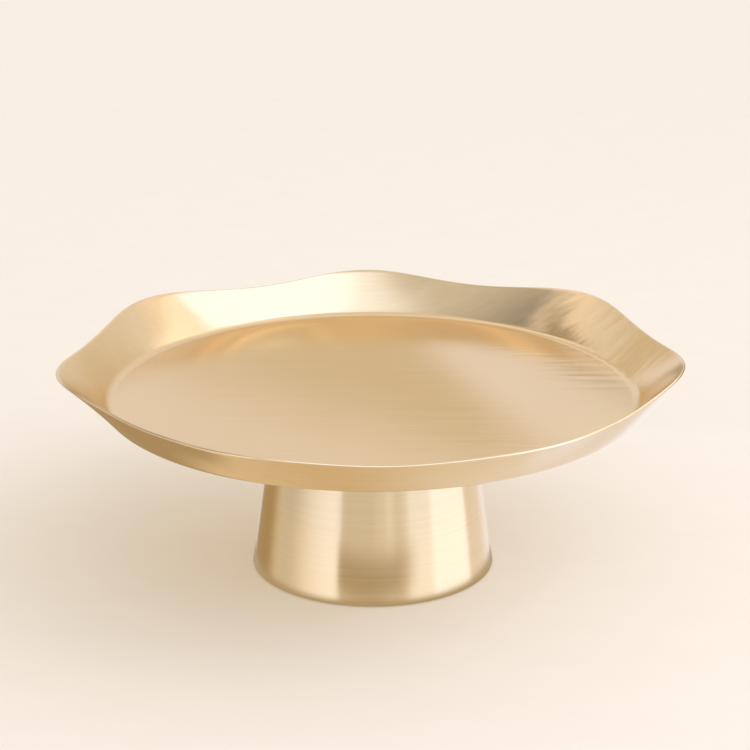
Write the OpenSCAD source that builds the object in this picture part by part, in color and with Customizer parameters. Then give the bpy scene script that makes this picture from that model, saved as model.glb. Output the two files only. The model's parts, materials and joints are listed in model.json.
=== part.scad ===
// Cake stand: a brushed metal dish with a wavy flared wall, held to a tapered
// sheet-metal pedestal by one threaded stud and a wing nut.
// Millimetres, +Z up, origin on the table at the centre of the pedestal's foot.

/* [Dish] */
// Mean diameter across the rim, halfway between crests and hollows
rim_d = 294.8; // [270:1:360]
// Mean height of the rim above the table
rim_h = 105.8; // [102:1:114]
// Diameter where the wall would meet the floor if the bend were sharp
fold_d = 260; // [240:1:264]
// Inside radius of the bend between the floor and the wall
bend_r = 6; // [4:1:14]
// Thickness of the dish's sheet
dish_t = 1.2; // [0.8:0.1:2]

/* [Rim wave] */
// Number of crests around the rim
crests = 7; // [5:1:9]
// How far a crest stands outside the mean rim
crest_out = 4.1; // [1:0.1:6]
// How far a crest stands above the mean rim
crest_up = 1.7; // [0:0.1:3]
// Narrowing of the crests against the hollows
crest_sharp = 0.4; // [0:0.1:1]
// Bearing of the first crest, in degrees
first_crest = 41; // [0:1:51]
// Uneven spacing of the crests, in degrees
wander = 3.3; // [0:0.1:4]
// Oval unevenness of the hand-bent rim
oval_out = 1.2; // [0:0.1:2]
// Three-sided unevenness of the hand-bent rim
trine_out = 1.8; // [0:0.1:2.5]
// Extra reach of the one crest that is pulled out furthest, at the left
pull_out = 1.9; // [0:0.1:3]

/* [Pedestal] */
// Diameter of the pedestal at its foot
foot_d = 120; // [100:1:140]
// Diameter of the pedestal at its neck, under the dish
neck_d = 96; // [80:1:110]
// Height of the pedestal's neck above the table
neck_h = 84.9; // [70:0.5:86]
// Thickness of the pedestal's sheet
shell_t = 1.2; // [0.8:0.1:2]
// Thickness of the disc welded into the neck
top_t = 2; // [1.5:0.5:4]
// Width of the turned-in flange welded into the foot
flange_w = 13; // [8:1:20]

/* [Pads] */
// Thickness of the rubber ring under the foot
pad_t = 1.6; // [1.2:0.1:3]
// Gap that the rubber ring leaves under the pedestal's edge
pad_show = 0.6; // [0.3:0.1:1]
// Width of the rubber ring under the foot
pad_w = 10; // [6:1:12]
// Gap between the rubber ring and the pedestal's sheet
pad_clear = 1; // [0.5:0.1:2]
// Thickness of the seat ring and the stud disc under the dish
seat_t = 1.5; // [1:0.1:3]
// Gap from the seat ring to the stud disc, and to the neck's outer edge
seat_clear = 1; // [0.5:0.5:2]

/* [Fixing] */
// Nominal diameter of the stud's thread
stud_d = 6; // [5:1:8]
// Length of the stud below its disc
stud_l = 16; // [15:1:24]
// Diameter of the disc that carries the stud
stud_disc_d = 60; // [40:2:70]
// Diameter of the plain washer
washer_d = 18; // [14:1:24]
// Thickness of the plain washer
washer_t = 1.6; // [1:0.1:2]
// Thickness of the spring washer
spring_t = 1.6; // [1:0.1:2]
// Height of the wing nut's hub
nut_h = 6.5; // [5:0.5:8]
// Span across the wing nut's two wings
wing_span = 32; // [26:1:40]
// Thickness of the wing nut's wings
wing_t = 2.4; // [1.5:0.1:3]
// Gap between the shank and the holes of the neck's disc and the washers
hole_clear = 0.25; // [0.1:0.05:0.5]
// Gap between the shank and the wing nut's running bore
nut_clear = 0.05; // [0.02:0.01:0.1]

/* [Hidden] */
$fn = 96;

gold = [0.83, 0.71, 0.52];
steel = [0.72, 0.72, 0.70];
rubber = [0.20, 0.19, 0.18];
silicone = [0.88, 0.87, 0.84];

// Heights, from the table up
flange_z = pad_t;
flange_t = shell_t;
seat_z = neck_h;
dish_under_z = seat_z + seat_t;
washer_z = neck_h - top_t - washer_t;
spring_z = washer_z - spring_t;

// The pedestal's taper
shell_h = neck_h - pad_show;
shell_slope = (foot_d - neck_d) / 2 / shell_h;
shell_wall = shell_t * sqrt(1 + shell_slope * shell_slope);
function shell_r(z) = foot_d / 2 - shell_slope * (z - pad_show);
function shell_in_r(z) = shell_r(z) - shell_wall;

// The dish's section: flat floor, bend, straight flared wall
wall_angle = atan2(rim_h - dish_under_z, (rim_d - fold_d) / 2);
bend_out_r = bend_r + dish_t;
bend_start_r = fold_d / 2 - bend_out_r * tan(wall_angle / 2);
wall_run = (rim_h - dish_under_z - bend_out_r * (1 - cos(wall_angle))) / sin(wall_angle);
bend_steps = 3;
wall_steps = 3;
flat_run = 6;
oval_at = 11;
trine_at = 34;
wander_at = 169;
pull_at = 191;
pull_width = 13;
pull_down = 0.4;
wave_growth = 1.4;
facets = 16 * crests;

// The plain shank that stands in for the thread, and what goes round it
stud_r = stud_d / 2;
hole_r = stud_r + hole_clear;
nut_bore_r = stud_r + nut_clear;
hub_r = stud_d;

// Height of the wave at a bearing: 1 on a crest, -1 in a hollow
function wave_turn(a) = crests * (a - first_crest + wander * cos(a - wander_at));
function pulled(a) = exp(-pow((a - pull_at) / pull_width, 2));
function rim_out(a) = crest_out * cos(wave_turn(a)) + crest_sharp * cos(2 * wave_turn(a))
    + oval_out * cos(2 * (a - oval_at)) + trine_out * cos(3 * (a - trine_at))
    + pull_out * pulled(a);
function rim_up(a) = crest_up * cos(wave_turn(a)) - pull_down * pulled(a);

// The wave grows from nothing at the end of the bend to its full size at the rim
function grown(s) = pow(s, wave_growth);

// A point of the section at bearing a, on the face that is d above the underside
function flat_point(r, d) = [r, dish_under_z + d];
function bend_point(u, d) = [
    bend_start_r + (bend_out_r - d) * sin(u),
    dish_under_z + bend_out_r - (bend_out_r - d) * cos(u)
];
function wall_point(s, d) =
    bend_point(wall_angle, d) + wall_run * s * [cos(wall_angle), sin(wall_angle)];
function waved(p, s, a) = p + grown(s) * [rim_out(a), rim_up(a)];
function section_face(a, d) = concat(
    [flat_point(bend_start_r - flat_run, d)],
    [for (i = [0 : bend_steps]) bend_point(wall_angle * i / bend_steps, d)],
    [for (i = [1 : wall_steps]) waved(wall_point(i / wall_steps, d), i / wall_steps, a)]
);
function reversed(v) = [for (i = [len(v) - 1 : -1 : 0]) v[i]];
function section(a) = concat(section_face(a, 0), reversed(section_face(a, dish_t)));
function turned(p, a) = [p[0] * cos(a), p[0] * sin(a), p[1]];

// The bent wall as one closed band of sections swept round the dish
module wavy_band() {
    n = 2 * (2 + bend_steps + wall_steps);
    points = [for (j = [0 : facets - 1]) let (a = 360 * j / facets)
        for (p = section(a)) turned(p, a)];
    faces = [for (j = [0 : facets - 1], i = [0 : n - 1]) let (
            here = j * n,
            next = ((j + 1) % facets) * n,
            k = (i + 1) % n
        ) [here + i, here + k, next + k, next + i]];
    polyhedron(points = points, faces = faces, convexity = 6);
}

// A flat ring from z up, with its outer edge at radius r_out
module ring(r_in, r_out, z, t) {
    translate([0, 0, z])
        rotate_extrude()
            translate([r_in, 0])
                square([r_out - r_in, t]);
}

// A ring that fills the pedestal's inside out to its tapered wall
module tapered_ring(r_in, z, t) {
    rotate_extrude()
        polygon([[r_in, z], [shell_in_r(z), z], [shell_in_r(z + t), z + t], [r_in, z + t]]);
}

// Pressed dish: a flat floor inside the wavy flared wall
module dish() {
    color(gold) union() {
        translate([0, 0, dish_under_z])
            cylinder(r = bend_start_r - flat_run / 2, h = dish_t);
        wavy_band();
    }
}

// Reinforcing disc spot-welded under the middle of the dish
module stud_disc() {
    color(steel)
        translate([0, 0, seat_z])
            cylinder(d = stud_disc_d, h = seat_t);
}

// Stud butt-welded to its disc, drawn as a plain shank with a bevelled end
module threaded_stud() {
    bevel = stud_d / 6;
    color(steel)
        translate([0, 0, seat_z - stud_l])
            rotate_extrude()
                polygon([[0, 0], [stud_r - bevel, 0], [stud_r, bevel],
                         [stud_r, stud_l], [0, stud_l]]);
}

// Silicone ring that the dish rests on, around the stud's disc
module seat_ring() {
    color(silicone)
        ring(stud_disc_d / 2 + seat_clear, neck_d / 2 - seat_clear, seat_z, seat_t);
}

// Tapered sheet-metal shell of the pedestal
module pedestal_shell() {
    color(gold)
        rotate_extrude()
            polygon([[shell_in_r(pad_show), pad_show], [shell_r(pad_show), pad_show],
                     [shell_r(neck_h), neck_h], [shell_in_r(neck_h), neck_h]]);
}

// Disc welded flush into the neck, with the stud's clearance hole
module pedestal_top() {
    color(steel)
        tapered_ring(hole_r, neck_h - top_t, top_t);
}

// Flat flange welded inside the foot, which the rubber ring is glued to
module foot_flange() {
    color(steel)
        tapered_ring(shell_in_r(flange_z) - flange_w, flange_z, flange_t);
}

// Rubber ring that the stand rests on
module foot_ring() {
    outer = shell_in_r(pad_t) - pad_clear;
    color(rubber)
        ring(outer - pad_w, outer, 0, pad_t);
}

// Plain washer under the neck's disc
module plain_washer() {
    color(steel)
        ring(hole_r, washer_d / 2, washer_z, washer_t);
}

// Spring washer, clamped flat, with its slanted split
module spring_washer() {
    outer = stud_d;
    split = 1;
    slant = 35;
    color(steel) difference() {
        ring(hole_r, outer, spring_z, spring_t);
        translate([outer, 0, spring_z + spring_t / 2])
            rotate([slant, 0, 0])
                cube([2 * outer, split, 4 * spring_t], center = true);
    }
}

// Outline of one wing, out along X from the hub and down from the bearing face
module wing_outline() {
    root_x = (nut_bore_r + hub_r) / 2;
    root_top = -nut_h / 4;
    tip_r = 4.5;
    lean = 37;
    tip = [wing_span / 2 - tip_r, -nut_h - tip_r * 2 / 3];
    upper_tangent = tip + tip_r * [cos(lean), sin(lean)];
    lower_tangent = tip - tip_r * [sin(lean), cos(lean)];
    translate(tip)
        circle(r = tip_r);
    polygon([[root_x, root_top], [hub_r, root_top], upper_tangent,
             lower_tangent, [root_x, -nut_h]]);
}

// Wing nut: a tapered hub with a running bore and two flat wings
module wing_nut() {
    hub_taper = 0.82;
    color(steel)
        translate([0, 0, spring_z])
            difference() {
                union() {
                    translate([0, 0, -nut_h])
                        cylinder(r1 = hub_r * hub_taper, r2 = hub_r, h = nut_h);
                    for (side = [0, 180])
                        rotate([90, 0, side])
                            linear_extrude(height = wing_t, center = true)
                                wing_outline();
                }
                translate([0, 0, -nut_h - 1])
                    cylinder(r = nut_bore_r, h = nut_h + 2);
            }
}

dish();
stud_disc();
threaded_stud();
seat_ring();
pedestal_shell();
pedestal_top();
foot_flange();
foot_ring();
plain_washer();
spring_washer();
wing_nut();
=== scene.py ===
import json
import math

import bmesh
import bpy
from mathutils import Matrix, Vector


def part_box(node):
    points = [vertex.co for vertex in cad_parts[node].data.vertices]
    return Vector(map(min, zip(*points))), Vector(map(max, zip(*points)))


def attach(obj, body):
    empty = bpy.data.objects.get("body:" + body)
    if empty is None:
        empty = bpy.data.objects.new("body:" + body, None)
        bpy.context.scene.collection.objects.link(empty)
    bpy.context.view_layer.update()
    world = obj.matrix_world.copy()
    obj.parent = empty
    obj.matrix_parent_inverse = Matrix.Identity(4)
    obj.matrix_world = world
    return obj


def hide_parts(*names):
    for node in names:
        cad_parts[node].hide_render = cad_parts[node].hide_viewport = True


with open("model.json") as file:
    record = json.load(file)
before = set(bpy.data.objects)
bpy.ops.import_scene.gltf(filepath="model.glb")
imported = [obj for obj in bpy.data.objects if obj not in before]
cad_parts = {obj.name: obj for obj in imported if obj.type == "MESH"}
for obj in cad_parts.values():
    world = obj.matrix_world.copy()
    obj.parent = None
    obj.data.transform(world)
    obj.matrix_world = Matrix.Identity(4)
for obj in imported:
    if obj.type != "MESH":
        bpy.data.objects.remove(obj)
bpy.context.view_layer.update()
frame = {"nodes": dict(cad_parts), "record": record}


# ---------------------------------------------------------------------------
# Dish: one disc of 1.2 mm stainless sheet, pressed to a flat floor with a
# flared wall. Its rim is bent by hand to seven uneven crests; the sheet is
# brushed in straight lines and plated a satin pale gold.
# ---------------------------------------------------------------------------
class Wire:
    """A number or vector travelling through a node tree, which sums can be written on."""

    def __init__(self, tree, socket):
        self.tree = tree
        self.socket = socket

    def sum_of(self, operation, *others):
        """The result of a sum that starts with this value."""
        made = self.tree.nodes.new("ShaderNodeMath")
        made.operation = operation
        for place, value in zip(made.inputs, (self, *others)):
            feed(self.tree, place, value)
        return Wire(self.tree, made.outputs[0])

    def flipped(self, operation, first):
        """The result of a sum that starts with another value and ends with this one."""
        made = self.tree.nodes.new("ShaderNodeMath")
        made.operation = operation
        feed(self.tree, made.inputs[0], first)
        feed(self.tree, made.inputs[1], self)
        return Wire(self.tree, made.outputs[0])

    def __add__(self, other):
        return self.sum_of("ADD", other)

    def __sub__(self, other):
        return self.sum_of("SUBTRACT", other)

    def __mul__(self, other):
        return self.sum_of("MULTIPLY", other)

    def __truediv__(self, other):
        return self.sum_of("DIVIDE", other)

    def __pow__(self, other):
        return self.sum_of("POWER", other)

    def __rsub__(self, other):
        return self.flipped("SUBTRACT", other)

    def __neg__(self):
        return self * -1.0

    __radd__ = __add__
    __rmul__ = __mul__

    def clamped(self, low=0.0, high=1.0):
        return self.sum_of("MAXIMUM", low).sum_of("MINIMUM", high)


def feed(tree, place, value):
    """Puts a number, a vector, a colour or another node's output into a socket."""
    if isinstance(value, Wire):
        tree.links.new(value.socket, place)
    elif value is not None:
        place.default_value = value


class Bench:
    """A node tree, and the methods that put nodes into it."""

    def __init__(self, tree):
        self.tree = tree

    def node(self, kind, settings=None, inputs=None, out=0):
        """A new node with these settings and inputs; gives one of its outputs."""
        made = self.tree.nodes.new(kind)
        for name, value in (settings or {}).items():
            setattr(made, name, value)
        for name, value in (inputs or {}).items():
            feed(self.tree, made.inputs[name], value)
        return Wire(self.tree, made.outputs[out]) if len(made.outputs) else None

    def parts_of(self, vector):
        """The x, y and z of a vector."""
        made = self.tree.nodes.new("ShaderNodeSeparateXYZ")
        feed(self.tree, made.inputs[0], vector)
        return [Wire(self.tree, s) for s in made.outputs]

    def eased(self, value, low, high, at_low=0.0, at_high=1.0):
        """Passes softly from at_low to at_high while value passes from low to high."""
        return self.node(
            "ShaderNodeMapRange",
            {"interpolation_type": "SMOOTHSTEP", "clamp": True},
            {"Value": value, "From Min": low, "From Max": high, "To Min": at_low, "To Max": at_high},
        )

    def blend(self, share, first, second):
        """Two colours mixed by a share from 0 to 1."""
        made = self.tree.nodes.new("ShaderNodeMix")
        made.data_type = "RGBA"
        feed(self.tree, made.inputs["Factor"], share)
        pair = [s for s in made.inputs if s.type == "RGBA"]
        feed(self.tree, pair[0], first)
        feed(self.tree, pair[1], second)
        return Wire(self.tree, [s for s in made.outputs if s.type == "RGBA"][0])

    def stretched(self, spot, scale, detail=2.0, harshness=0.5):
        """Random grain whose size along each axis is one over scale, in metres."""
        drawn = self.node("ShaderNodeVectorMath", {"operation": "MULTIPLY"}, {0: spot, 1: scale})
        return self.node("ShaderNodeTexNoise", None,
                         {"Vector": drawn, "Scale": 1.0, "Detail": detail, "Roughness": harshness})


def new_form(name, labels, whole=()):
    """A Geometry Nodes tree that takes these sizes and a metal: the tree, its bench, its inputs."""
    tree = bpy.data.node_groups.new(name, "GeometryNodeTree")
    for label in labels:
        number = "NodeSocketInt" if label in whole else "NodeSocketFloat"
        tree.interface.new_socket(label, in_out="INPUT", socket_type=number)
    tree.interface.new_socket("Metal", in_out="INPUT", socket_type="NodeSocketMaterial")
    tree.interface.new_socket("Geometry", in_out="OUTPUT", socket_type="NodeSocketGeometry")
    inputs = tree.nodes.new("NodeGroupInput").outputs
    return tree, Bench(tree), {s.name: Wire(tree, s) for s in inputs if s.name}


full_turn = 2 * math.pi
crests = 7
rim_r, rim_h, fold_r, bend_r, sheet = 0.1474, 0.1058, 0.130, 0.006, 0.0012
floor_h = [m for m in frame["record"]["mounts"] if m["name"] == "dish_floor"][0]["pos_m"][2]
under_h = floor_h - sheet
rise = math.atan2(rim_h - under_h, rim_r - fold_r)
bend_start = fold_r - (bend_r + sheet) * math.tan(rise / 2)
wall_run = (rim_h - under_h - (bend_r + sheet) * (1 - math.cos(rise))) / math.sin(rise)

dish_sizes = {
    "Crests": crests, "First crest": math.radians(41),
    "Wander": math.radians(3.3), "Wander at": math.radians(169),
    "Crest out": 0.0041, "Crest up": 0.0017, "Crest sharp": 0.0004,
    "Oval out": 0.0012, "Oval at": math.radians(11),
    "Trine out": 0.0018, "Trine at": math.radians(34),
    "Pull out": 0.0019, "Pull down": 0.0004,
    "Pull at": math.radians(191), "Pull width": math.radians(13),
    "Wave growth": 1.4, "Floor height": floor_h, "Bend start": bend_start, "Bend radius": bend_r,
    "Rise": rise, "Wall run": wall_run,
}
dish_form, form, given = new_form("dish_form", dish_sizes)

# The flat sheet is a grid. Its x runs once round the dish; its y, counted from its low edge,
# runs from the middle (0) over the floor (to 1) and the bend (to 2) up to the rim (3).
crest_columns, zone_rows = 48, 14
blank = form.node("GeometryNodeMeshGrid", None, {
    "Size X": 1.0, "Size Y": 3.0,
    "Vertices X": crest_columns * crests + 1, "Vertices Y": 3 * zone_rows + 1})
grid_x, grid_y, _ = form.parts_of(form.node("GeometryNodeInputPosition"))
bearing = (grid_x + 0.5) * full_turn
on_floor = (grid_y + 1.5).clamped()
on_bend = (grid_y + 0.5).clamped()
on_wall = (grid_y - 0.5).clamped()

turn = given["Crests"] * (bearing - given["First crest"]
                          + given["Wander"] * (bearing - given["Wander at"]).sum_of("COSINE"))
pulled = (-((bearing - given["Pull at"]) * (bearing - given["Pull at"])
            / (given["Pull width"] * given["Pull width"]))).sum_of("EXPONENT")
grown = on_wall ** given["Wave growth"]
out_by = grown * (given["Crest out"] * turn.sum_of("COSINE")
                  + given["Crest sharp"] * (turn * 2.0).sum_of("COSINE")
                  + given["Oval out"] * ((bearing - given["Oval at"]) * 2.0).sum_of("COSINE")
                  + given["Trine out"] * ((bearing - given["Trine at"]) * 3.0).sum_of("COSINE")
                  + given["Pull out"] * pulled)
up_by = grown * (given["Crest up"] * turn.sum_of("COSINE") - given["Pull down"] * pulled)
bend_turn = on_bend * given["Rise"]
reach = (given["Bend start"] * on_floor + given["Bend radius"] * bend_turn.sum_of("SINE")
         + given["Wall run"] * on_wall * given["Rise"].sum_of("COSINE") + out_by)
height = (given["Floor height"] + given["Bend radius"] * (1.0 - bend_turn.sum_of("COSINE"))
          + given["Wall run"] * on_wall * given["Rise"].sum_of("SINE") + up_by)
bent = form.node("ShaderNodeCombineXYZ", None, {
    "X": reach * bearing.sum_of("COSINE"), "Y": reach * bearing.sum_of("SINE"), "Z": height})
unrolled = form.node("ShaderNodeCombineXYZ", None, {
    "X": bearing * given["Bend start"], "Y": on_wall * given["Wall run"], "Z": on_wall})
marked = form.node(
    "GeometryNodeStoreNamedAttribute", {"data_type": "FLOAT_VECTOR", "domain": "CORNER"},
    {"Geometry": blank, "Name": "unrolled", "Value": unrolled})
laid = form.node("GeometryNodeSetPosition", None, {"Geometry": marked, "Position": bent})
closed = form.node("GeometryNodeMergeByDistance", None, {"Geometry": laid, "Distance": 0.00001})
upward = form.node("GeometryNodeFlipFaces", None, {"Mesh": closed})
smooth = form.node("GeometryNodeSetShadeSmooth", None, {"Geometry": upward})
real = form.node("GeometryNodeRealizeInstances", None, {"Geometry": smooth})
faced = form.node("GeometryNodeSetMaterial", None, {"Geometry": real, "Material": given["Metal"]})
form.node("NodeGroupOutput", None, {"Geometry": faced})


def new_finish(name, colour, metallic, roughness, **fixed):
    """A material with one Principled shader: the material, the bench for its pattern, the shader."""
    material = bpy.data.materials.new(name)
    material.use_nodes = True
    shader = material.node_tree.nodes["Principled BSDF"]
    shader.inputs["Base Color"].default_value = (*colour, 1.0)
    shader.inputs["Metallic"].default_value = metallic
    shader.inputs["Roughness"].default_value = roughness
    for socket, value in fixed.items():
        shader.inputs[socket.replace("_", " ")].default_value = value
    return material, Bench(material.node_tree), shader


def finish_with(bench, shader, colour=None, roughness=None, height=None, strength=0.2, depth=0.0002):
    """Feeds a pattern to a shader: its colour, its roughness, and a height that becomes bumps."""
    feed(bench.tree, shader.inputs["Base Color"], colour)
    feed(bench.tree, shader.inputs["Roughness"], roughness)
    if height is not None:
        bumps = bench.node("ShaderNodeBump", None,
                           {"Strength": strength, "Distance": depth, "Height": height})
        feed(bench.tree, shader.inputs["Normal"], bumps)


gold, warm_gold, pale_gold = (0.845, 0.678, 0.435), (0.805, 0.627, 0.38), (0.88, 0.73, 0.515)
straight_gold, lay, lay_shader = new_finish(
    "gold_brushed_straight", gold, metallic=1.0, roughness=0.24)
spot = lay.node("ShaderNodeTexCoord", out="Object")
sheet_place = lay.node("ShaderNodeAttribute", {"attribute_name": "unrolled"}, out="Vector")
_, _, up_wall = lay.parts_of(sheet_place)
across_dish, into_dish, _ = lay.parts_of(spot)
hairlines = lay.stretched(spot, (16.0, 3600.0, 900.0), 2.0, 0.6)
drag_marks = lay.stretched(spot, (9.0, 620.0, 240.0), 4.0, 0.7)
handling = lay.stretched(spot, (17.0, 26.0, 17.0), 3.0)
ripples = lay.stretched(spot, (17.0, 150.0, 60.0), 1.0)
turned_one_way, turned_other_way = [
    lay.node("ShaderNodeMapping", None, {"Vector": sheet_place, "Rotation": (0.0, 0.0, angle)})
    for angle in (0.62, -0.5)]
cross_one = lay.stretched(turned_one_way, (120.0, 2600.0, 0.0), 2.0, 0.6)
cross_two = lay.stretched(turned_other_way, (150.0, 2200.0, 0.0), 2.0, 0.6)
wall_share = lay.eased(up_wall, 0.02, 0.3)
rub = lay.stretched(sheet_place, (60.0, 180.0, 0.0), 3.0, 0.6)
# A paler, shinier gold band along the top of the wall at the rim: partly wear, partly a painted
# highlight on the rim's edge.
rim_wear_and_highlight = lay.eased(up_wall, 0.955, 0.995)
feathered_end = lay.eased(across_dish, 0.06, 0.11) * lay.eased(into_dish, -0.01, 0.04)
lay_height = (hairlines * 0.6 + drag_marks * 1.7 * (1.0 - wall_share * 0.6)
              + (cross_one + cross_two) * wall_share * 0.5 + rub * wall_share * 0.8
              + ripples * (1.0 + feathered_end * 11.0))
lay_rough = (0.145 + (drag_marks - 0.5) * 0.16 + (handling - 0.5) * 0.14
             + (cross_one - 0.5) * wall_share * 0.12 - rim_wear_and_highlight * 0.05)
lay_colour = lay.blend((0.5 + (drag_marks - 0.5) * 1.9 + (handling - 0.5) * 0.9).clamped(),
                       (*warm_gold, 1.0), (*gold, 1.0))
lay_colour = lay.blend(rim_wear_and_highlight * 0.6, lay_colour, (*pale_gold, 1.0))
finish_with(lay, lay_shader, lay_colour, lay_rough, lay_height, strength=0.10, depth=0.0002)


def add_steps(piece, steps):
    """Adds modifiers to a piece, each given as its kind and its settings."""
    for kind, settings in steps:
        step = piece.modifiers.new(kind.lower(), kind)
        for setting, value in settings.items():
            setattr(step, setting, value)


def look_of(piece):
    """A mesh of a piece as its modifiers leave it."""
    bpy.context.view_layer.update()
    return bpy.data.meshes.new_from_object(piece.evaluated_get(bpy.context.evaluated_depsgraph_get()))


def made_by(tree, name, sizes, material, body, *steps):
    """The plain mesh of a Geometry Nodes tree with these sizes, then finished by these modifiers."""
    maker = bpy.data.objects.new(name + "_form", bpy.data.meshes.new(name + "_form"))
    bpy.context.scene.collection.objects.link(maker)
    shaping = maker.modifiers.new("form", "NODES")
    shaping.node_group = tree
    for item in tree.interface.items_tree:
        if item.in_out == "INPUT":
            shaping[item.identifier] = material if item.socket_type == "NodeSocketMaterial" else (
                type(item.default_value)(sizes[item.name]))
    add_steps(maker, steps)
    piece = bpy.data.objects.new(name, look_of(maker))
    bpy.data.objects.remove(maker)
    bpy.context.scene.collection.objects.link(piece)
    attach(piece, body)
    return piece


dish = made_by(
    dish_form, "dish_sheet", dish_sizes, straight_gold, "dish",
    ("SOLIDIFY", {"thickness": sheet, "offset": -1.0, "use_even_offset": True}),
    ("BEVEL", {"width": 0.00045, "segments": 3,
               "limit_method": "ANGLE", "angle_limit": math.radians(50)}),
)
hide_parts("dish")


# ---------------------------------------------------------------------------
# Stud disc: a mill-finish stainless disc, spot-welded under the middle of the
# dish by eight pips, each with a ring of heat colour. It carries the stud.
# ---------------------------------------------------------------------------
pips, pip_ring_r, pip_core_r, pip_r, heat_r = 8, 0.021, 0.0016, 0.0024, 0.0060
pip_turn = full_turn / pips
mill, mill_bench, mill_shader = new_finish(
    "mill_stainless_spot_welded", (0.60, 0.60, 0.585), metallic=1.0, roughness=0.34)
mill_spot = mill_bench.node("ShaderNodeTexCoord", out="Object")
mill_x, mill_y, _ = mill_bench.parts_of(mill_spot)
from_middle = (mill_x * mill_x + mill_y * mill_y) ** 0.5
past_pip = (mill_y.sum_of("ARCTAN2", mill_x) / pip_turn).sum_of("FLOORED_MODULO", 1.0) - 0.5
pip_off = ((past_pip * pip_turn * pip_ring_r) ** 2.0 + (from_middle - pip_ring_r) ** 2.0) ** 0.5
pip = mill_bench.eased(pip_off, pip_core_r, pip_r, 1.0, 0.0)
heat = mill_bench.eased(pip_off, pip_r, heat_r, 1.0, 0.0)
rolling = mill_bench.stretched(mill_spot, (40.0, 1400.0, 40.0), 3.0, 0.6)
clouds = mill_bench.stretched(mill_spot, (70.0, 70.0, 70.0), 2.0)
mill_colour = mill_bench.blend(clouds, (0.54, 0.54, 0.53, 1.0), (0.66, 0.66, 0.645, 1.0))
mill_colour = mill_bench.blend(heat * 0.75, mill_colour, (0.50, 0.36, 0.20, 1.0))
mill_colour = mill_bench.blend(pip * 0.8, mill_colour, (0.30, 0.30, 0.33, 1.0))
finish_with(mill_bench, mill_shader, mill_colour, 0.30 + clouds * 0.10 + pip * 0.15,
            rolling * 0.25 - pip * 1.6, strength=0.35, depth=0.0004)
stud_disc = frame["nodes"]["stud_disc"]
stud_disc.data.materials.clear()
stud_disc.data.materials.append(mill)


# ---------------------------------------------------------------------------
# Threaded stud: an M6 by 1 zinc-plated steel stud with a rolled thread, its
# last turns chamfered away, butt-welded to the disc under the dish.
# ---------------------------------------------------------------------------
stud_low, stud_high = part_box("threaded_stud")
stud_sizes = {"Radius": stud_high[0], "Depth": 0.00055, "Pitch": 0.001, "Bottom": stud_low[2],
              "Top": stud_high[2], "Chamfer": 0.0009, "Weld": 0.0008}
stud_form, screw, asked = new_form("rolled_thread", stud_sizes)
stud_sides, stud_rows = 36, 160
stud_blank = screw.node("GeometryNodeMeshGrid", None, {
    "Size X": 1.0, "Size Y": 1.0, "Vertices X": stud_sides + 1, "Vertices Y": stud_rows + 1})
round_x, up_y, _ = screw.parts_of(screw.node("GeometryNodeInputPosition"))
round_turn = round_x + 0.5
stud_length = asked["Top"] - asked["Bottom"]
# The rows of the grid run a little past both ends of the stud, and are held at them. Only the
# first and the last row are beyond last_row; they shrink to the axis and close the ends.
stretch, last_row = 1.02, 0.4969
capped = (up_y * stretch + stretch / 2).clamped(0.001, 1.0)
stud_z = asked["Bottom"] + stud_length * capped
up_turns = stud_z / asked["Pitch"] - round_turn
flank = (up_turns.sum_of("FLOORED_MODULO", 1.0) - 0.5).sum_of("ABSOLUTE")
groove = screw.eased(flank, 0.08, 0.40, 0.0, 1.0)
from_end = stud_z - asked["Bottom"]
end_cut = (1.0 - from_end / asked["Chamfer"]).clamped() * asked["Chamfer"]
plain_top = screw.eased(asked["Top"] - stud_z, 0.0010, 0.0018)
pool = (1.0 - (asked["Top"] - stud_z) / asked["Weld"]).clamped() ** 2.0 * asked["Weld"]
closing = screw.node("FunctionNodeCompare", {"data_type": "FLOAT", "operation": "GREATER_THAN"},
                     {0: up_y.sum_of("ABSOLUTE"), 1: last_row})
stud_r = (asked["Radius"] - asked["Depth"] * groove * plain_top - end_cut + pool) * (1.0 - closing)
stud_angle = round_turn * full_turn
stud_bent = screw.node("ShaderNodeCombineXYZ", None, {
    "X": stud_r * stud_angle.sum_of("COSINE"), "Y": stud_r * stud_angle.sum_of("SINE"), "Z": stud_z})
stud_laid = screw.node("GeometryNodeSetPosition", None,
                       {"Geometry": stud_blank, "Position": stud_bent})
stud_closed = screw.node("GeometryNodeMergeByDistance", None,
                         {"Geometry": stud_laid, "Distance": 0.000005})
stud_smooth = screw.node("GeometryNodeSetShadeSmooth", None, {"Geometry": stud_closed})
stud_real = screw.node("GeometryNodeRealizeInstances", None, {"Geometry": stud_smooth})
stud_faced = screw.node("GeometryNodeSetMaterial", None,
                        {"Geometry": stud_real, "Material": asked["Metal"]})
screw.node("NodeGroupOutput", None, {"Geometry": stud_faced})

zinc, zinc_bench, zinc_shader = new_finish(
    "bright_zinc", (0.66, 0.67, 0.69), metallic=1.0, roughness=0.30)
zinc_spot = zinc_bench.node("ShaderNodeTexCoord", out="Object")
bath = zinc_bench.stretched(zinc_spot, (160.0, 160.0, 160.0), 3.0)
grit = zinc_bench.stretched(zinc_spot, (2600.0, 2600.0, 2600.0), 2.0, 0.6)
zinc_colour = zinc_bench.blend(bath, (0.60, 0.63, 0.68, 1.0), (0.72, 0.70, 0.64, 1.0))
finish_with(zinc_bench, zinc_shader, zinc_colour, 0.22 + bath * 0.18 + grit * 0.06, grit,
            strength=0.15, depth=0.0001)
stud = made_by(stud_form, "threaded_stud_rolled", stud_sizes, zinc, "dish")
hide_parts("threaded_stud")


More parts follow.
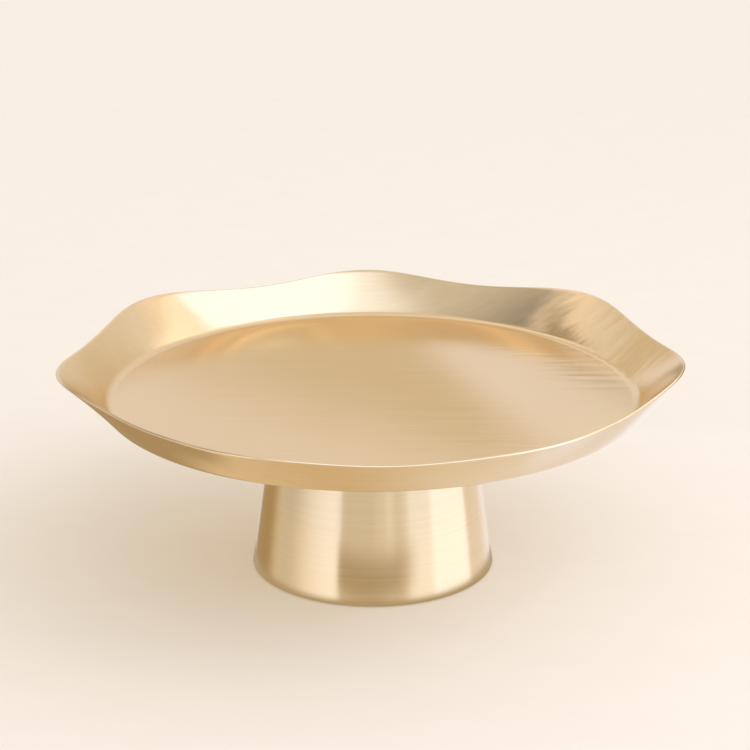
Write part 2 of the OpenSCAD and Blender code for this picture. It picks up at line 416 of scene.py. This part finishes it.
# ---------------------------------------------------------------------------
# Seat ring: a moulded ring of translucent white silicone that lies on the
# neck and keeps the dish from ringing and turning on the pedestal.
# ---------------------------------------------------------------------------
def join_loops(mesh, loops):
    """Joins each loop of points to the next one with four-sided faces."""
    for here, following in zip(loops, loops[1:]):
        for corner in range(len(here)):
            beyond = (corner + 1) % len(here)
            mesh.faces.new((here[corner], following[corner], following[beyond], here[beyond]))


def object_from(mesh, name, material=None):
    """Puts a finished mesh into the scene as an object."""
    data = bpy.data.meshes.new(name)
    mesh.to_mesh(data)
    mesh.free()
    if material is not None:
        data.materials.append(material)
    piece = bpy.data.objects.new(name, data)
    bpy.context.scene.collection.objects.link(piece)
    return piece


def smooth_piece(mesh, name, material, body, replaced, round_off):
    """Finishes a piece: smooth faces that look outward, and edges rounded off."""
    bmesh.ops.recalc_face_normals(mesh, faces=mesh.faces)
    for face in mesh.faces:
        face.smooth = True
    piece = object_from(mesh, name, material)
    add_steps(piece, [("BEVEL", {"width": round_off, "segments": 3,
                                 "limit_method": "ANGLE", "angle_limit": math.radians(40)})])
    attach(piece, body)
    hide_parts(replaced)


def turned_ring(name, outline, material, body, replaced, round_off, around=192):
    """A ring turned round Z from an outline of (radius, height) points, its edges rounded off."""
    mesh = bmesh.new()
    rings = []
    for step in range(around):
        angle = full_turn * step / around
        rings.append([mesh.verts.new((r * math.cos(angle), r * math.sin(angle), z))
                      for r, z in outline])
    join_loops(mesh, rings + rings[:1])
    smooth_piece(mesh, name, material, body, replaced, round_off)


silicone, soft_bench, soft_shader = new_finish(
    "white_silicone", (0.86, 0.85, 0.81), metallic=0.0, roughness=0.45,
    Subsurface_Weight=0.4, Subsurface_Scale=0.002)
soft_spot = soft_bench.node("ShaderNodeTexCoord", out="Object")
bloom = soft_bench.stretched(soft_spot, (60.0, 60.0, 60.0), 3.0)
skin = soft_bench.stretched(soft_spot, (1800.0, 1800.0, 1800.0), 2.0)
soft_colour = soft_bench.blend(bloom, (0.80, 0.79, 0.74, 1.0), (0.90, 0.89, 0.86, 1.0))
finish_with(soft_bench, soft_shader, soft_colour, 0.38 + bloom * 0.16, skin,
            strength=0.2, depth=0.0001)
seat_low, seat_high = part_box("seat_ring")
_, disc_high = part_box("stud_disc")
disc_gap = 0.001
seat_in, seat_out = disc_high[0] + disc_gap, seat_high[0]
turned_ring(
    "seat_ring_moulded",
    [(seat_in, seat_low[2]), (seat_out, seat_low[2]),
     (seat_out, seat_high[2]), (seat_in, seat_high[2])],
    silicone, "pedestal", "seat_ring", round_off=0.00035)


# ---------------------------------------------------------------------------
# Pedestal shell: a cone of 1.2 mm stainless sheet, rolled, welded down the back
# and brushed on a lathe, so its lines run round it; plated like the dish.
# ---------------------------------------------------------------------------
shell_low, shell_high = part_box("pedestal_shell")
foot_r, foot_z, neck_z = shell_high[0], shell_low[2], shell_high[2]
seat_inset = 0.001
neck_r = seat_out + seat_inset
lean = (foot_r - neck_r) / (neck_z - foot_z)
shell_wall = sheet * math.hypot(1.0, lean)


def inside_r(z):
    """The radius of the shell's inner face at a height."""
    return foot_r - lean * (z - foot_z) - shell_wall


round_gold, lathe, lathe_shader = new_finish(
    "gold_brushed_round", gold, metallic=1.0, roughness=0.24,
    Anisotropic=0.55, Anisotropic_Rotation=0.25)
shell_spot = lathe.node("ShaderNodeTexCoord", out="Object")
shell_x, shell_y, shell_z = lathe.parts_of(shell_spot)
rings_fine = lathe.stretched(shell_spot, (14.0, 14.0, 4200.0), 3.0, 0.6)
rings_broad = lathe.stretched(shell_spot, (7.0, 7.0, 900.0), 4.0, 0.7)
patina = lathe.stretched(shell_spot, (20.0, 20.0, 26.0), 3.0)
seam = (lathe.eased(shell_x.sum_of("ABSOLUTE"), 0.0005, 0.0016, 1.0, 0.0)
        * lathe.eased(shell_y, 0.0, 0.01))
foot_wear = lathe.eased(shell_z, foot_z + 0.0004, foot_z + 0.0016, 1.0, 0.0)
lathe_height = rings_fine * 0.6 + rings_broad * 0.7 - seam * 0.6
lathe_rough = (0.18 + (rings_broad - 0.5) * 0.08 + (patina - 0.5) * 0.10
               + seam * 0.10 - foot_wear * 0.05)
lathe_colour = lathe.blend((0.5 + (rings_broad - 0.5) * 1.7 + (patina - 0.5) * 0.8).clamped(),
                           (*warm_gold, 1.0), (*gold, 1.0))
lathe_colour = lathe.blend((foot_wear * 0.5 + seam * 0.3).clamped(), lathe_colour, (*pale_gold, 1.0))
finish_with(lathe, lathe_shader, lathe_colour, lathe_rough, lathe_height, strength=0.07, depth=0.0002)
turned_ring(
    "pedestal_cone",
    [(inside_r(foot_z), foot_z), (foot_r, foot_z), (neck_r, neck_z), (inside_r(neck_z), neck_z)],
    round_gold, "pedestal", "pedestal_shell", round_off=0.00035, around=256)


# ---------------------------------------------------------------------------
# Pedestal top: a 2 mm mill-finish disc let into the neck and welded to the
# shell from inside by a ring of overlapping weld ripples.
# ---------------------------------------------------------------------------
plate, plate_bench, plate_shader = new_finish(
    "mill_stainless_plate", (0.60, 0.60, 0.585), metallic=1.0, roughness=0.34)
plate_spot = plate_bench.node("ShaderNodeTexCoord", out="Object")
plate_x, plate_y, _ = plate_bench.parts_of(plate_spot)
plate_r = (plate_x * plate_x + plate_y * plate_y) ** 0.5
plate_roll = plate_bench.stretched(plate_spot, (1300.0, 36.0, 36.0), 3.0, 0.6)
plate_cloud = plate_bench.stretched(plate_spot, (50.0, 50.0, 50.0), 2.0)
plate_heat = plate_bench.eased(plate_r + (plate_cloud - 0.5) * 0.003, 0.040, 0.0465)
plate_colour = plate_bench.blend(plate_cloud, (0.53, 0.53, 0.52, 1.0), (0.66, 0.655, 0.64, 1.0))
plate_colour = plate_bench.blend(plate_heat * 0.6, plate_colour, (0.46, 0.35, 0.22, 1.0))
finish_with(plate_bench, plate_shader, plate_colour, 0.28 + plate_cloud * 0.12, plate_roll,
            strength=0.12, depth=0.0003)
top_low, top_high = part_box("pedestal_top")
stud_slack = 0.00025
stud_hole = stud_high[0] + stud_slack
turned_ring(
    "pedestal_top_plate",
    [(stud_hole, top_low[2]), (inside_r(top_low[2]), top_low[2]),
     (inside_r(top_high[2]), top_high[2]), (stud_hole, top_high[2])],
    plate, "pedestal", "pedestal_top", round_off=0.00025, around=128)

bead_form, torch, wanted = new_form(
    "weld_bead", ("Ripples", "Ring radius", "Height", "Bead"), whole=("Ripples",))
path = torch.node("GeometryNodeCurvePrimitiveCircle", None,
                  {"Resolution": wanted["Ripples"], "Radius": wanted["Ring radius"]})
stops = torch.node("GeometryNodeCurveToPoints", {"mode": "EVALUATED"}, {"Curve": path})
stops_at = torch.node("GeometryNodeSetPosition", None, {
    "Geometry": stops, "Offset": torch.node("ShaderNodeCombineXYZ", None, {"Z": wanted["Height"]})})
ripple = torch.node("GeometryNodeMeshIcoSphere", None, {"Radius": wanted["Bead"], "Subdivisions": 2})
uneven = torch.node("FunctionNodeRandomValue", {"data_type": "FLOAT"},
                    {"Min": 0.82, "Max": 1.1, "Seed": 5}, 1)
welds = torch.node("GeometryNodeInstanceOnPoints", None,
                   {"Points": stops_at, "Instance": ripple, "Scale": uneven})
welds_smooth = torch.node("GeometryNodeSetShadeSmooth", None, {
    "Geometry": torch.node("GeometryNodeRealizeInstances", None, {"Geometry": welds})})
welds_faced = torch.node("GeometryNodeSetMaterial", None,
                         {"Geometry": welds_smooth, "Material": wanted["Metal"]})
torch.node("NodeGroupOutput", None, {"Geometry": welds_faced})

weld, weld_bench, weld_shader = new_finish(
    "weld_metal", (0.42, 0.40, 0.38), metallic=1.0, roughness=0.40)
weld_spot = weld_bench.node("ShaderNodeTexCoord", out="Object")
soot = weld_bench.stretched(weld_spot, (220.0, 220.0, 220.0), 3.0, 0.6)
weld_colour = weld_bench.blend(soot, (0.30, 0.25, 0.22, 1.0), (0.56, 0.53, 0.50, 1.0))
finish_with(weld_bench, weld_shader, weld_colour, 0.30 + soot * 0.3, soot,
            strength=0.3, depth=0.0004)
bead_r = 0.0010
neck_bead = made_by(
    bead_form, "neck_weld",
    {"Ripples": 230, "Ring radius": inside_r(top_low[2]) - bead_r * 0.2,
     "Height": top_low[2] - bead_r * 0.2, "Bead": bead_r},
    weld, "pedestal")


# ---------------------------------------------------------------------------
# Foot flange: a flat ring of 1.2 mm stainless inside the foot, welded to the
# shell from above. The rubber ring is glued to its underside.
# ---------------------------------------------------------------------------
flange_low, flange_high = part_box("foot_flange")
flange_width = 0.013
flange_in = inside_r(flange_low[2]) - flange_width
turned_ring(
    "foot_flange_ring",
    [(flange_in, flange_low[2]), (inside_r(flange_low[2]), flange_low[2]),
     (inside_r(flange_high[2]), flange_high[2]), (flange_in, flange_high[2])],
    plate, "pedestal", "foot_flange", round_off=0.00025)
foot_bead = made_by(
    bead_form, "foot_weld",
    {"Ripples": 290, "Ring radius": inside_r(flange_high[2]) - bead_r * 0.3,
     "Height": flange_high[2] + bead_r * 0.2, "Bead": bead_r},
    weld, "pedestal")


# ---------------------------------------------------------------------------
# Foot ring: a moulded ring of matt black rubber with three grip grooves in
# its sole. The whole stand rests on it, just clear of the metal edge.
# ---------------------------------------------------------------------------
rubber, sole_bench, sole_shader = new_finish(
    "black_rubber", (0.045, 0.042, 0.040), metallic=0.0, roughness=0.75)
sole_spot = sole_bench.node("ShaderNodeTexCoord", out="Object")
dust = sole_bench.stretched(sole_spot, (90.0, 90.0, 90.0), 4.0, 0.65)
pores = sole_bench.stretched(sole_spot, (2200.0, 2200.0, 2200.0), 2.0)
sole_colour = sole_bench.blend(sole_bench.eased(dust, 0.45, 0.75), (0.040, 0.038, 0.036, 1.0),
                               (0.105, 0.098, 0.090, 1.0))
finish_with(sole_bench, sole_shader, sole_colour, 0.62 + dust * 0.25, pores,
            strength=0.3, depth=0.0002)
sole_low, sole_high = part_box("foot_ring")
sole_out, sole_width = sole_high[0], 0.010
groove_w, groove_d = 0.0010, 0.0004
sole_outline = [(sole_out - sole_width, sole_high[2]), (sole_out - sole_width, sole_low[2])]
for share in (0.25, 0.5, 0.75):
    middle = sole_out - sole_width * (1.0 - share)
    sole_outline += [(middle - groove_w / 2, sole_low[2]), (middle - groove_w / 2, groove_d),
                     (middle + groove_w / 2, groove_d), (middle + groove_w / 2, sole_low[2])]
sole_outline += [(sole_out, sole_low[2]), (sole_out, sole_high[2])]
turned_ring("foot_ring_moulded", sole_outline, rubber, "pedestal", "foot_ring",
            round_off=0.00012)


# ---------------------------------------------------------------------------
# Washers: a stamped plain washer under the neck's disc, and below it a spring
# washer of square wire, split on a slant and clamped flat. Both zinc-plated.
# ---------------------------------------------------------------------------
plain_low, plain_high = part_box("plain_washer")
turned_ring(
    "plain_washer_stamped",
    [(stud_hole, plain_low[2]), (plain_high[0], plain_low[2]),
     (plain_high[0], plain_high[2]), (stud_hole, plain_high[2])],
    zinc, "washers", "plain_washer", round_off=0.0002, around=96)

spring_low, spring_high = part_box("spring_washer")
spring_out, spring_mid = spring_high[1], (spring_low[2] + spring_high[2]) / 2
gap_half, gap_slant, wire_steps = 0.0005, math.tan(math.radians(35)), 72
cut = gap_half / spring_out
wire_mesh = bmesh.new()
wire_rings = []
for step in range(wire_steps + 1):
    ring = []
    for r, z in ((stud_hole, spring_low[2]), (spring_out, spring_low[2]),
                 (spring_out, spring_high[2]), (stud_hole, spring_high[2])):
        shift = -(z - spring_mid) * gap_slant / spring_out
        angle = cut + (full_turn - 2 * cut) * step / wire_steps + shift
        ring.append(wire_mesh.verts.new((r * math.cos(angle), r * math.sin(angle), z)))
    wire_rings.append(ring)
join_loops(wire_mesh, wire_rings)
wire_mesh.faces.new(wire_rings[0])
wire_mesh.faces.new(reversed(wire_rings[-1]))
smooth_piece(wire_mesh, "spring_washer_split", zinc, "washers", "spring_washer",
             round_off=0.00022)


# ---------------------------------------------------------------------------
# Wing nut: cast in one piece with two rounded wings that run into a tapered
# hub, tapped M6 and zinc-plated. It is spun up by hand from inside the cone.
# ---------------------------------------------------------------------------
_, nut_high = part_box("wing_nut")
nut_face, nut_span = nut_high[2], nut_high[0]
hub_r, hub_h, tip_r, wing_half = 0.0060, 0.0065, 0.0045, 0.0012
tip_x, tip_z = nut_span - tip_r, nut_face - hub_h - tip_r * 2 / 3
hub_taper, tip_taper, tip_steps, bore_slack = 0.18, 0.16, 16, 0.00015
nut_mesh = bmesh.new()


def cast_lump(outline_at, layers):
    """Adds one closed lump whose section at each layer is given by outline_at(layer)."""
    loops = [[nut_mesh.verts.new(point) for point in outline_at(layer)] for layer in layers]
    join_loops(nut_mesh, loops)
    nut_mesh.faces.new(list(reversed(loops[0])))
    nut_mesh.faces.new(loops[-1])


def hub_outline(share):
    """The hub's round section, from its free end (0) to its bearing face (1)."""
    r = hub_r * (1.0 - hub_taper + hub_taper * share)
    z = nut_face - hub_h * (1.0 - share)
    return [(r * math.cos(t * math.pi / 24), r * math.sin(t * math.pi / 24), z) for t in range(48)]


def wing_outline(share, side):
    """A wing's section at one layer of its thickness: from a round tip to a broad root."""
    shrink = 1.0 - tip_taper * abs(share) ** 3
    y = wing_half * share
    outline = []
    for step in range(tip_steps + 1):
        t = math.radians(-127 + 180 * (step / tip_steps))
        outline.append((tip_x + tip_r * shrink * math.cos(t), tip_z + tip_r * shrink * math.sin(t)))
    outline += [(hub_r, nut_face - hub_h / 4), (hub_r * 0.7, nut_face - hub_h / 4),
                (hub_r * 0.7, nut_face - hub_h + 0.0002)]
    return [(side * x, side * y, z) for x, z in outline]


cast_lump(hub_outline, (0.0, 0.5, 1.0))
for side in (1, -1):
    cast_lump(lambda share: wing_outline(share, side), (-1.0, -0.6, 0.0, 0.6, 1.0))
bmesh.ops.recalc_face_normals(nut_mesh, faces=nut_mesh.faces)
wing_nut = object_from(nut_mesh, "wing_nut_cast")

bore_mesh = bmesh.new()
bore_r = stud_high[0] + bore_slack
bmesh.ops.create_cone(bore_mesh, cap_ends=True, segments=48, radius1=bore_r, radius2=bore_r,
                      depth=hub_h * 2)
bmesh.ops.translate(bore_mesh, vec=(0.0, 0.0, nut_face - hub_h / 2), verts=bore_mesh.verts)
tap = object_from(bore_mesh, "tap")
add_steps(wing_nut, [
    ("REMESH", {"mode": "VOXEL", "voxel_size": 0.0003, "use_smooth_shade": True}),
    ("SMOOTH", {"factor": 0.5, "iterations": 7}),
    ("BOOLEAN", {"operation": "DIFFERENCE", "object": tap, "solver": "EXACT"}),
])
cast_data = look_of(wing_nut)
wing_nut.modifiers.clear()
wing_nut.data = cast_data
bpy.data.objects.remove(tap)

cast_zinc, cast_bench, cast_shader = new_finish(
    "cast_zinc_plate", (0.64, 0.65, 0.67), metallic=1.0, roughness=0.36)
cast_spot = cast_bench.node("ShaderNodeTexCoord", out="Object")
cast_x, _, _ = cast_bench.parts_of(cast_spot)
thumb_wear = cast_bench.eased(cast_x.sum_of("ABSOLUTE"), hub_r * 1.4, nut_span)
orange_peel = cast_bench.stretched(cast_spot, (700.0, 700.0, 700.0), 3.0)
dull = cast_bench.stretched(cast_spot, (150.0, 150.0, 150.0), 3.0)
cast_colour = cast_bench.blend(dull, (0.55, 0.57, 0.61, 1.0), (0.72, 0.71, 0.67, 1.0))
cast_colour = cast_bench.blend(thumb_wear * 0.5, cast_colour, (0.78, 0.78, 0.77, 1.0))
finish_with(cast_bench, cast_shader, cast_colour, 0.30 + dull * 0.2 - thumb_wear * 0.1,
            orange_peel, strength=0.25, depth=0.0003)
wing_nut.data.materials.clear()
wing_nut.data.materials.append(cast_zinc)
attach(wing_nut, "nut")
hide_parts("wing_nut")


# ---------------------------------------------------------------------------
# Studio: a plain cream floor that fades into a plain cream surround, a soft
# key light from the right, broad soft panels in the surround for the metal to
# mirror, and three shining cards near the stand that only reflections see.
# ---------------------------------------------------------------------------
scene = bpy.context.scene
scene.view_settings.view_transform = "Standard"

floor_mesh = bmesh.new()
bmesh.ops.create_circle(floor_mesh, cap_ends=True, radius=2.4, segments=128)
cream_floor, floor_bench, floor_shader = new_finish(
    "cream_floor", (0.64, 0.58, 0.50), metallic=0.0, roughness=0.85,
    Emission_Color=(0.305, 0.258, 0.183, 1.0), Emission_Strength=1.0)
floor_spot = floor_bench.node("ShaderNodeTexCoord", out="Object")
plaster = floor_bench.stretched(floor_spot, (26.0, 40.0, 26.0), 4.0, 0.6)
floor_colour = floor_bench.blend(plaster, (0.62, 0.565, 0.49, 1.0), (0.66, 0.605, 0.53, 1.0))
finish_with(floor_bench, floor_shader, floor_colour, height=plaster, strength=0.15, depth=0.001)
floor_away = floor_bench.node("ShaderNodeVectorMath", {"operation": "LENGTH"},
                              {0: floor_spot}, "Value")
clear = floor_bench.node("ShaderNodeBsdfTransparent")
seen_from_below = floor_bench.node("ShaderNodeNewGeometry", out="Backfacing")
faded = floor_bench.node("ShaderNodeMixShader", None, {
    0: floor_bench.eased(floor_away, 0.45, 1.5).sum_of("MAXIMUM", seen_from_below),
    1: Wire(cream_floor.node_tree, floor_shader.outputs[0]), 2: clear})
feed(cream_floor.node_tree, cream_floor.node_tree.nodes["Material Output"].inputs["Surface"], faded)
floor = object_from(floor_mesh, "floor", cream_floor)
floor.visible_glossy = False

world = bpy.data.worlds.new("studio")
scene.world = world
world.use_nodes = True
air = Bench(world.node_tree)
glow = world.node_tree.nodes["Background"]
to_x, to_y, to_z = air.parts_of(air.node("ShaderNodeTexCoord", out="Generated"))

# Directions in degrees: compass is 0 in front, 90 at the right and 180 behind; tilt is 90
# overhead and -90 underfoot.
degrees = 180 / math.pi
compass = to_x.sum_of("ARCTAN2", -to_y) * degrees
tilt = to_z.sum_of("ARCSINE") * degrees


def panel(bearing_at, half_width, tilt_at, half_height, soft):
    """A soft-edged rectangle in the surround, placed and sized in degrees: 1 inside, 0 outside."""
    round_to = (compass - (bearing_at - 180.0)).sum_of("FLOORED_MODULO", 360.0) - 180.0
    across = air.eased(round_to.sum_of("ABSOLUTE"), half_width, half_width + soft, 1.0, 0.0)
    up_to = (tilt - tilt_at).sum_of("ABSOLUTE")
    return across * air.eased(up_to, half_height, half_height + soft, 1.0, 0.0)


def shone(bench, colour, strength):
    """A colour of light made stronger or weaker all over by one number."""
    return bench.node("ShaderNodeVectorMath", {"operation": "SCALE"}, {0: colour, "Scale": strength})


def together(bench, *lights):
    """Lights added up."""
    total = lights[0]
    for other in lights[1:]:
        total = bench.node("ShaderNodeVectorMath", {"operation": "ADD"}, {0: total, 1: other})
    return total


room_white, day_white = (1.0, 0.96, 0.93), (0.66, 0.86, 1.36)
wall_cream, timber_tan = (0.95, 0.865, 0.78), (0.745, 0.63, 0.48)
shaded_tan, underfoot_blue = (1.0, 0.80, 0.55), (0.0, 0.12, 0.31)
underfoot = air.eased(tilt, -28.0, -44.0)
right_underfoot = air.eased(to_x, -0.10, 0.30)
skirting = (air.eased(tilt, -8.0, -13.0).sum_of("MAXIMUM", panel(180, 14, -10, 6, 2))
            * (1.0 - underfoot))
low_behind = panel(180, 18, 9, 12, 7)
dim_corner = (air.eased(compass, -20.0, -112.0, 0.06, 0.46)
              * air.eased(compass, -118.5, -116.0) * air.eased(compass, -14.0, -34.0)
              * air.eased(tilt, 33.0, 41.0) * air.eased(tilt, 72.0, 59.0))
dark_doorway = panel(-145, 9, 0, 22, 34) * 0.58
dim_side = panel(-112, 16, 0, 30, 36) * 0.175 + panel(-16, 17, 0, 30, 3) * 0.08
room = (0.84 - dim_corner - dark_doorway - dim_side) * (
    1.0 - skirting) * (1.0 - underfoot) * (1.0 - low_behind)
big_window = (air.eased(compass, -40.0, 12.0) * air.eased(compass, 160.0, 104.0)
              * air.eased(tilt, 20.0, 36.0) * air.eased(tilt, 76.0, 62.0)
              * (1.0 - air.eased(compass, 45.0, 90.0) * air.eased(tilt, 56.0, 68.0) * 0.8))
daylight = (panel(-63, 30, 0, 30, 2) * air.eased(compass, -92.0, -38.0) * 0.46
            + panel(100, 32, 0, 30, 9) * 0.68 + panel(51, 12, 0, 30, 5) * 0.40
            + panel(17, 3, 0, 30, 2) * 0.15 + panel(34, 3, 0, 30, 2) * 0.12
            + big_window * 0.95)
left_underfoot = air.eased(to_x, -0.05, -0.45)
feed(world.node_tree, glow.inputs["Color"], together(
    air, shone(air, room_white, room), shone(air, wall_cream, skirting * (1.0 - dim_side * 1.2)),
    shone(air, timber_tan, low_behind * (1.0 - skirting)),
    shone(air, shaded_tan, underfoot * (0.745 + right_underfoot * 0.185 + left_underfoot * 0.14)),
    shone(air, underfoot_blue, underfoot * right_underfoot), shone(air, day_white, daylight)))
glow.inputs["Strength"].default_value = 1.0


def card(mesh, name, material_name):
    """A sheet that only reflections can see, and the bench on which its light is mixed."""
    tone = bpy.data.materials.new(material_name)
    tone.use_nodes = True
    tone.node_tree.nodes.remove(tone.node_tree.nodes["Principled BSDF"])
    piece = object_from(mesh, name, tone)
    piece.visible_camera = piece.visible_diffuse = piece.visible_shadow = False
    return piece, Bench(tone.node_tree)


def light_up(bench, colour, share=None):
    """Makes a card shine in a colour: all over, or where its share is 1 and clear where it is 0."""
    light = bench.node("ShaderNodeEmission", None, {"Color": colour, "Strength": 1.0})
    if share is not None:
        light = bench.node("ShaderNodeMixShader", None, {
            0: share, 1: bench.node("ShaderNodeBsdfTransparent"), 2: light})
    feed(bench.tree, bench.tree.nodes["Material Output"].inputs["Surface"], light)


def upright(width, height, at_y, middle_z):
    """A flat upright sheet that faces the viewer."""
    mesh = bmesh.new()
    bmesh.ops.create_grid(mesh, x_segments=1, y_segments=1, size=0.5)
    for corner in mesh.verts:
        corner.co = (corner.co.x * width, at_y, corner.co.y * height + middle_z)
    return mesh


# The shaded patch of floor round the foot.
near_mesh, near_lift = bmesh.new(), 0.0004
bmesh.ops.create_circle(near_mesh, cap_ends=True, radius=0.1, segments=64)
bmesh.ops.translate(near_mesh, vec=(0.0, 0.0, near_lift), verts=near_mesh.verts)
near_floor, near_bench = card(near_mesh, "floor_in_shade", "floor_in_shade")
near_spot = near_bench.node("ShaderNodeTexCoord", out="Object")
near_away = near_bench.node("ShaderNodeVectorMath", {"operation": "LENGTH"},
                            {0: near_spot}, "Value")
light_up(near_bench, (0.52, 0.43, 0.31, 1.0), near_bench.eased(near_away, 0.070, 0.0615))

# A low shade in front, just under the level of the floor, for the underside of the wall.
low_card, low_bench = card(upright(width=0.5, height=0.06, at_y=-0.20, middle_z=-0.035),
                           "shade_in_front", "shade_in_front")
low_x, _, low_z = low_bench.parts_of(low_bench.node("ShaderNodeTexCoord", out="Object"))
light_up(low_bench, (0.48, 0.39, 0.27, 1.0),
         low_bench.eased(low_z, -0.001, -0.021) * low_bench.eased(low_z, -0.064, -0.050)
         * low_bench.eased(low_x, -0.125, -0.105) * low_bench.eased(low_x, 0.20, 0.05))

# The wall behind: timber tan with daylight dappled on it, a dark end and a shaded top.
backdrop, dapple_bench = card(upright(width=1.4, height=1.1, at_y=0.185, middle_z=0.25),
                              "backdrop", "dappled_wall")
dapple_spot = dapple_bench.node("ShaderNodeTexCoord", out="Object")
dapple_x, _, dapple_z = dapple_bench.parts_of(dapple_spot)
slanted = dapple_bench.node("ShaderNodeMapping", None,
                            {"Vector": dapple_spot, "Rotation": (0.0, 0.6, 0.0)})
leaves = dapple_bench.eased(dapple_bench.stretched(slanted, (14.0, 1.0, 30.0), 2.0), 0.42, 0.62)
lit_right = dapple_bench.eased(dapple_x - (dapple_z - 0.14) * 1.1, 0.036, 0.062)
lit_left = dapple_bench.eased((dapple_z - 0.143) - dapple_x * 0.35, 0.0, 0.065)
lit_far_right = (dapple_bench.eased(dapple_x, 0.10, 0.14) * dapple_bench.eased(dapple_x, 0.26, 0.18)
                 * dapple_bench.eased(dapple_z, 0.12, 0.05))
dark_left = (dapple_bench.eased(dapple_x, -0.08, -0.14) * dapple_bench.eased(dapple_x, -0.66, -0.28)
             * dapple_bench.eased(dapple_z, 0.12, 0.05))
overhead = dapple_bench.eased(dapple_z, 0.20, 0.27)
dark_spot = (dapple_bench.eased(dapple_x + (dapple_z - 0.29) * 0.25, -0.050, -0.075) * overhead
             * dapple_bench.eased(dapple_z, 0.47, 0.41))
low_window = (dapple_bench.eased(dapple_x - (dapple_z - 0.29) * 0.9, -0.068, -0.045) * overhead
              * dapple_bench.eased(dapple_z, 0.37, 0.28))
side_window = dapple_bench.eased(dapple_x, 0.03, 0.08) * overhead
end_shade = (dapple_bench.eased(dapple_z - (dapple_x - 0.0945) * 0.42, 0.1300, 0.1268)
             * dapple_bench.eased(dapple_x, 0.07, 0.09) * dapple_bench.eased(dapple_z, 0.02, 0.08))
wall_light = 1.0 - dark_left - dark_spot * 0.42 - end_shade * 0.34
wall_day = ((lit_right * 0.27 + lit_left * 0.23 + leaves * 0.03)
            * (1.0 - overhead) * (1.0 - dark_left) * (1.0 - end_shade)
            + lit_far_right * 0.13 + overhead * (1.0 - dark_spot) * 0.20)
light_up(dapple_bench, together(
    dapple_bench, shone(dapple_bench, timber_tan, wall_light),
    shone(dapple_bench, (0.46, 0.34, 0.19), dark_left),
    shone(dapple_bench, (0.24, 0.17, 0.12), low_window),
    shone(dapple_bench, (0.42, 0.42, 0.42), side_window),
    shone(dapple_bench, day_white, wall_day)))

key_data = bpy.data.lights.new("key", "AREA")
key_data.shape, key_data.size, key_data.energy = "SQUARE", 0.8, 3.0
key_data.color = (1.0, 0.96, 0.88)
key = bpy.data.objects.new("key", key_data)
key.location = (0.95, -0.35, 1.25)
key.rotation_euler = (-key.location).to_track_quat("-Z", "Y").to_euler()
key.visible_glossy = False
scene.collection.objects.link(key)

# The camera looks down at a point aim_z above the floor, from this far away.
camera_data = bpy.data.cameras.new("camera")
camera_data.lens = 117.6
camera = bpy.data.objects.new("camera", camera_data)
pitch, away, aim_x, aim_z = math.radians(18.67), 1.2, 0.0011, 0.0976
camera.location = (aim_x, -away * math.cos(pitch), aim_z + away * math.sin(pitch))
camera.rotation_euler = (math.pi / 2 - pitch, 0.0, 0.0)
scene.collection.objects.link(camera)
scene.camera = camera
